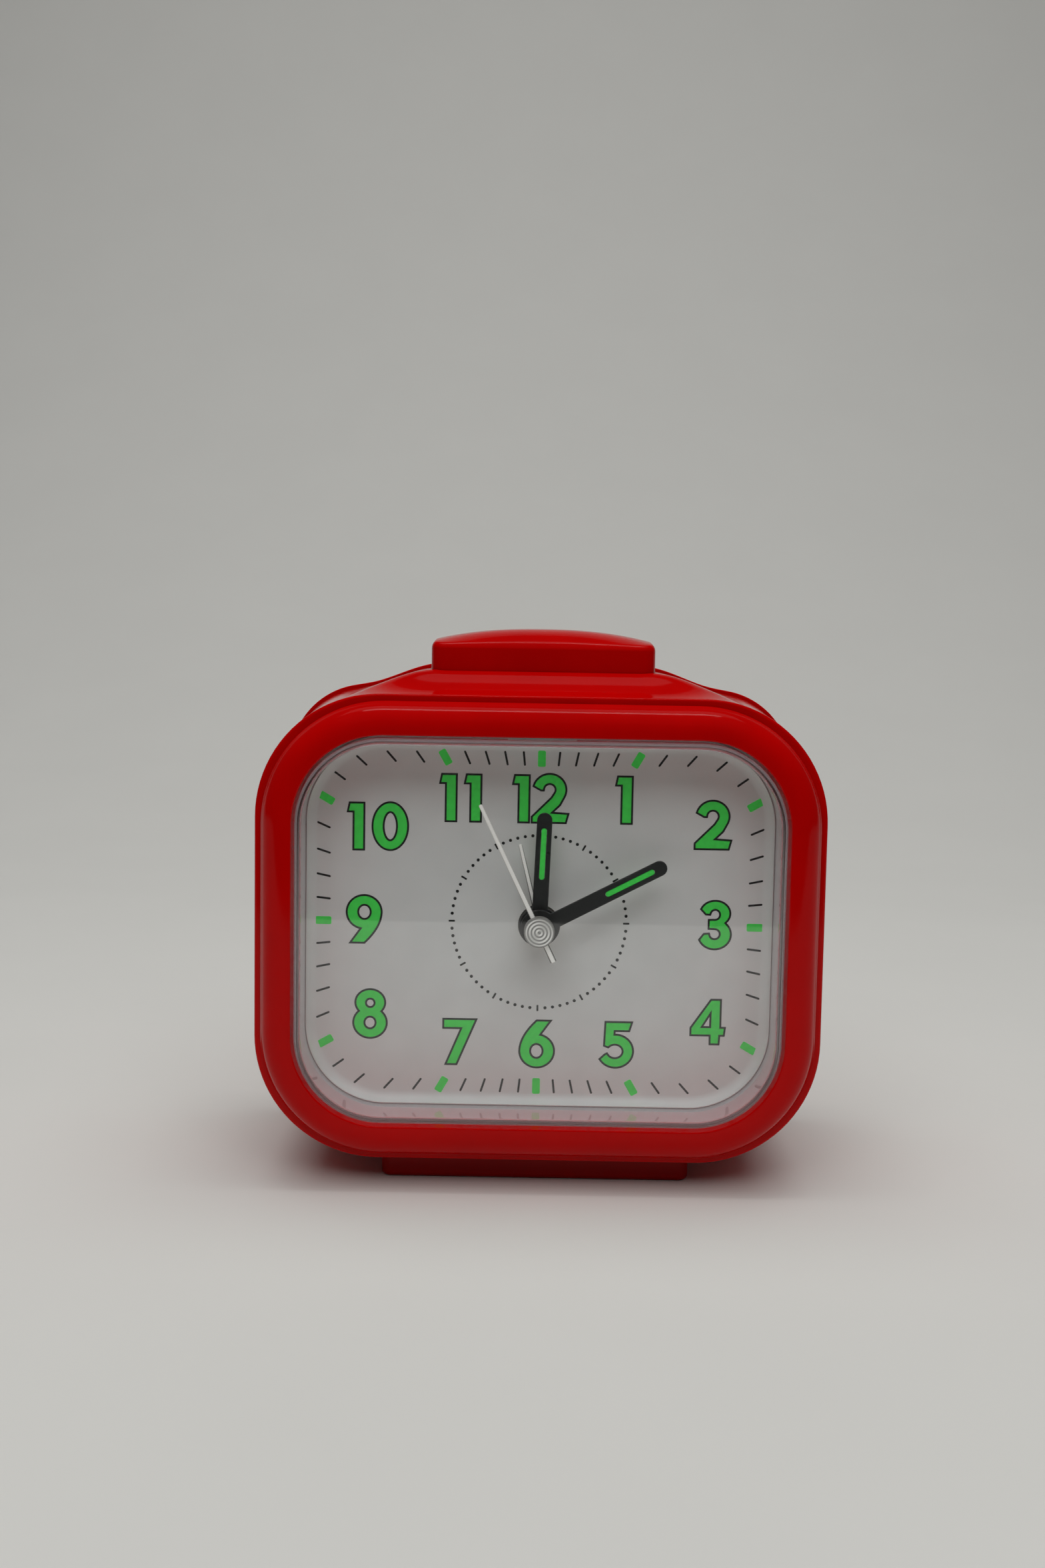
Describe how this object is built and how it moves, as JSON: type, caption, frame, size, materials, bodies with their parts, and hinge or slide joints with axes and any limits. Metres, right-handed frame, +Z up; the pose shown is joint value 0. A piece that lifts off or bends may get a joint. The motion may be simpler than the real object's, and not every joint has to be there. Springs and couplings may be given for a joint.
{
  "type": "alarm clock",
  "caption": "Desk quartz alarm clock with a rounded glossy case, clear box lens, luminous dial and hands, top snooze and light button, bell, setting knobs and battery tray.",
  "frame": {"origin": "on the floor, under the middle of the clock's bounding box", "axes": "+X to the right as seen from the front, -Y out of the dial, +Z up"},
  "size_m": [0.1154, 0.062, 0.1135],
  "materials": {
    "case_red": "high gloss moulded",
    "clear_lens": "clear polished",
    "dial_white": "satin printed",
    "black_plastic": "satin",
    "luminous_green": "matte luminous",
    "silver_hand": "bright turned",
    "brass": "satin",
    "steel": "satin",
    "nickel": "bright plated",
    "copper_wire": "enamelled winding",
    "gear_white": "natural",
    "movement_black": "satin",
    "circuit_green": "satin lacquer",
    "cell_jacket": "printed jacket, no text",
    "lead_red": "satin",
    "lead_black": "satin",
    "lamp_clear": "clear"
  },
  "bodies": {
    "root": {"front_bezel": "case_red", "lens": "clear_lens", "case_body": "case_red", "rear_cover": "case_red", "dial_plate": "dial_white", "case_screw_upper_left": "steel", "case_screw_upper_right": "steel", "case_screw_lower_left": "steel", "case_screw_lower_right": "steel", "button_bracket": "movement_black", "button_spring_left": "steel", "button_spring_right": "steel", "snooze_switch": "black_plastic", "dial_lamp": "lamp_clear", "lamp_board": "circuit_green", "movement_front": "movement_black", "movement_back": "movement_black", "bridge_plate": "brass", "circuit_board": "circuit_green", "quartz_crystal": "nickel", "drive_coil": "copper_wire", "stator": "steel", "movement_screw_left": "steel", "movement_screw_right": "steel", "gong": "nickel", "gong_screw": "steel", "striker_frame": "steel", "striker_coil": "copper_wire", "battery_cell_upper": "cell_jacket", "battery_cell_lower": "cell_jacket", "battery_plate_upper": "nickel", "battery_plate_lower": "nickel", "battery_spring_upper": "nickel", "battery_spring_lower": "nickel", "alarm_switch_base": "movement_black", "battery_lead_red": "lead_red", "battery_lead_black": "lead_black"},
    "second": {"second_hand": "silver_hand", "second_wheel": "brass"},
    "fifth_wheel": {"fifth_wheel": "gear_white"},
    "rotor": {"rotor": "steel"},
    "third_wheel": {"third_wheel": "gear_white"},
    "centre_drive_wheel": {"centre_drive_wheel": "brass"},
    "minute": {"minute_hand": "black_plastic", "minute_hand_lume": "luminous_green", "minute_pipe": "brass"},
    "motion_wheel": {"motion_wheel": "gear_white"},
    "hour": {"hour_hand": "black_plastic", "hour_hand_lume": "luminous_green", "hour_wheel": "gear_white"},
    "time_set": {"time_set_shaft": "gear_white", "time_set_knob": "case_red"},
    "alarm": {"alarm_hand": "silver_hand", "alarm_wheel": "gear_white"},
    "alarm_set": {"alarm_set_shaft": "gear_white", "alarm_set_knob": "case_red"},
    "snooze_light_button": {"snooze_light_button": "case_red"},
    "bell_hammer": {"bell_hammer": "steel"},
    "alarm_switch_slider": {"alarm_switch_slider": "black_plastic"},
    "battery_door": {"battery_door": "case_red"}
  },
  "joints": [
    {"name": "second_hand_turn", "type": "hinge", "parent": "root", "child": "second", "pos_m": [0, -0.0274, 0.0532], "axis": [0, 1, 0], "continuous": true},
    {"name": "fifth_wheel_turn", "type": "hinge", "parent": "root", "child": "fifth_wheel", "pos_m": [0.00525, -0.0024, 0.04411], "axis": [0, 1, 0], "continuous": true},
    {"name": "rotor_turn", "type": "hinge", "parent": "root", "child": "rotor", "pos_m": [0.01371, -0.0061, 0.04103], "axis": [0, 1, 0], "continuous": true},
    {"name": "third_wheel_turn", "type": "hinge", "parent": "root", "child": "third_wheel", "pos_m": [-0.01198, -0.0062, 0.04884], "axis": [0, 1, 0], "continuous": true},
    {"name": "centre_drive_turn", "type": "hinge", "parent": "root", "child": "centre_drive_wheel", "pos_m": [0, -0.0081, 0.0532], "axis": [0, 1, 0], "continuous": true},
    {"name": "minute_hand_turn", "type": "hinge", "parent": "root", "child": "minute", "pos_m": [0, -0.0238, 0.0532], "axis": [0, 1, 0], "continuous": true},
    {"name": "motion_wheel_turn", "type": "hinge", "parent": "root", "child": "motion_wheel", "pos_m": [-0.004, -0.0107, 0.06013], "axis": [0, 1, 0], "continuous": true},
    {"name": "hour_hand_turn", "type": "hinge", "parent": "root", "child": "hour", "pos_m": [0, -0.0222, 0.0532], "axis": [0, 1, 0], "continuous": true},
    {"name": "time_set_turn", "type": "hinge", "parent": "root", "child": "time_set", "pos_m": [-0.01093, 0.0287, 0.06413], "axis": [0, 1, 0], "continuous": true},
    {"name": "alarm_hand_turn", "type": "hinge", "parent": "root", "child": "alarm", "pos_m": [0, -0.0205, 0.0532], "axis": [0, 1, 0], "continuous": true},
    {"name": "alarm_set_turn", "type": "hinge", "parent": "root", "child": "alarm_set", "pos_m": [0.00937, 0.0287, 0.06413], "axis": [0, 1, 0], "continuous": true},
    {"name": "snooze_light_press", "type": "slide", "parent": "root", "child": "snooze_light_button", "axis": [0, 0, -1], "range_m": [0, 0.0024], "stiffness_N_per_m": 250, "springref_m": -0.002, "deforming": ["button_spring_left", "button_spring_right"]},
    {"name": "bell_hammer_swing", "type": "hinge", "parent": "root", "child": "bell_hammer", "pos_m": [-0.008, 0.015, 0.086], "axis": [0, 1, 0], "range_deg": [0, 7], "stiffness_Nm_per_rad": 0.002, "springref_deg": -5.73},
    {"name": "alarm_switch_slide", "type": "slide", "parent": "root", "child": "alarm_switch_slider", "axis": [1, 0, 0], "range_m": [0, 0.004]},
    {"name": "battery_door_open", "type": "hinge", "parent": "root", "child": "battery_door", "pos_m": [0, 0.0272, 0.0107], "axis": [-1, 0, 0], "range_deg": [0, 90]}
  ],
  "couplings": [
    {"joint": "fifth_wheel_turn", "follows": "second_hand_turn", "ratio": -6},
    {"joint": "rotor_turn", "follows": "second_hand_turn", "ratio": 30},
    {"joint": "third_wheel_turn", "follows": "second_hand_turn", "ratio": -0.13333},
    {"joint": "centre_drive_turn", "follows": "second_hand_turn", "ratio": 0.016667},
    {"joint": "motion_wheel_turn", "follows": "minute_hand_turn", "ratio": -0.33333},
    {"joint": "hour_hand_turn", "follows": "minute_hand_turn", "ratio": 0.083333},
    {"joint": "time_set_turn", "follows": "minute_hand_turn", "ratio": 1},
    {"joint": "alarm_set_turn", "follows": "alarm_hand_turn", "ratio": -3}
  ]
}
